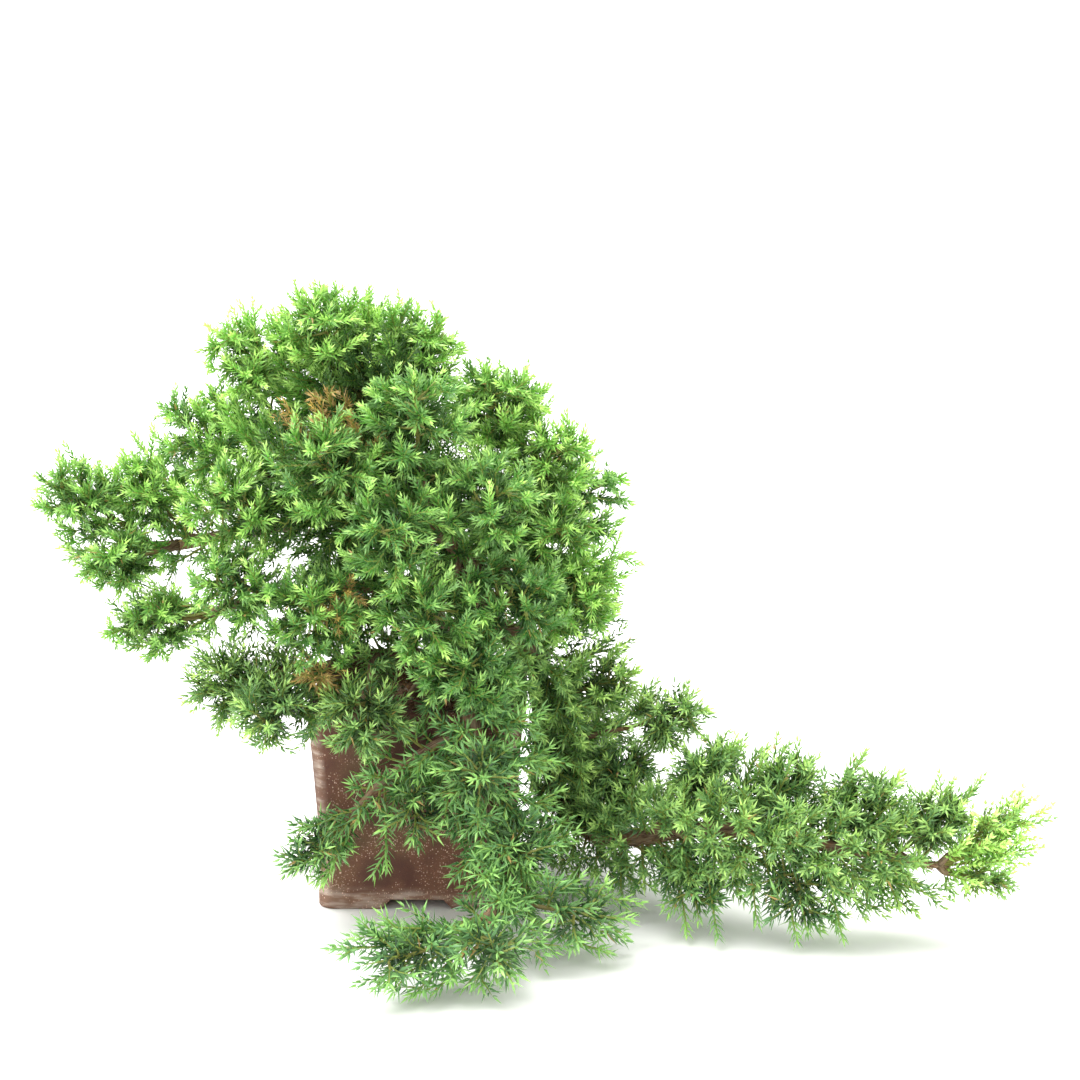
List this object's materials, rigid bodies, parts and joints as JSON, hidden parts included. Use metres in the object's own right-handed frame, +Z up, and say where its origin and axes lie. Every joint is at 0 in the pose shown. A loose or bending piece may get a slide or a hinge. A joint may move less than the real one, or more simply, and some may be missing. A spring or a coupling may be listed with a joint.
{
  "type": "procumbens nana juniper bonsai",
  "caption": "Semi-cascade dwarf juniper bonsai: a curved trunk with a full crown of needle sprays and one long low branch, in a square flared unglazed pot with soil",
  "frame": {"origin": "on the surface that the pot stands on, under the middle of the whole outline", "axes": "+X towards the tip of the long low branch, -Y towards the front of the tree, +Z up"},
  "size_m": [0.636, 0.4042, 0.3987],
  "materials": {
    "pot": "unglazed stoneware, matte, speckled",
    "screen": "matte black plastic mesh",
    "soil": "damp granular bonsai soil, matte",
    "bark": "flaking juniper bark, rough and matte",
    "crown_needles": "waxy needles, light at the shoot tips",
    "shaded_needles": "waxy needles, pale bands on the inner side",
    "long_needles": "waxy blue-green needles",
    "dry_needles": "dead needles, dry and matte"
  },
  "bodies": {
    "root": {"pot": "pot", "drain_screen": "screen", "soil": "soil", "wood": "bark", "top_spray_1": "crown_needles", "top_spray_2": "crown_needles", "top_spray_3": "crown_needles", "top_spray_4": "crown_needles", "left_spray_1": "crown_needles", "left_spray_2": "crown_needles", "left_spray_3": "crown_needles", "left_spray_4": "crown_needles", "front_spray_1": "crown_needles", "front_spray_2": "crown_needles", "front_spray_3": "crown_needles", "front_spray_4": "crown_needles", "front_spray_5": "crown_needles", "front_spray_6": "crown_needles", "front_spray_7": "crown_needles", "right_spray_1": "crown_needles", "right_spray_2": "crown_needles", "right_spray_3": "crown_needles", "right_spray_4": "crown_needles", "skirt_spray_1": "shaded_needles", "skirt_spray_2": "shaded_needles", "skirt_spray_3": "shaded_needles", "arm_spray_1": "shaded_needles", "arm_spray_2": "shaded_needles", "arm_spray_3": "shaded_needles", "arm_spray_4": "shaded_needles", "back_spray_1": "crown_needles", "back_spray_2": "crown_needles", "back_spray_3": "crown_needles", "back_spray_4": "crown_needles", "back_spray_5": "crown_needles", "back_spray_6": "crown_needles", "back_spray_7": "crown_needles", "back_spray_8": "crown_needles", "back_spray_9": "crown_needles", "back_spray_10": "crown_needles", "face_spray_1": "long_needles", "face_spray_2": "long_needles", "face_spray_3": "long_needles", "face_spray_4": "long_needles", "low_spray_1": "long_needles", "low_spray_2": "long_needles", "low_spray_3": "long_needles", "shoulder_spray_1": "shaded_needles", "shoulder_spray_2": "shaded_needles", "cascade_spray_1": "shaded_needles", "cascade_spray_2": "shaded_needles", "cascade_spray_3": "shaded_needles", "cascade_spray_4": "shaded_needles", "cascade_spray_5": "shaded_needles", "tip_spray_1": "shaded_needles", "tip_spray_2": "shaded_needles", "hanging_spray_1": "long_needles", "hanging_spray_2": "long_needles", "dry_twig_1": "dry_needles", "dry_twig_2": "dry_needles"}
  },
  "joints": []
}
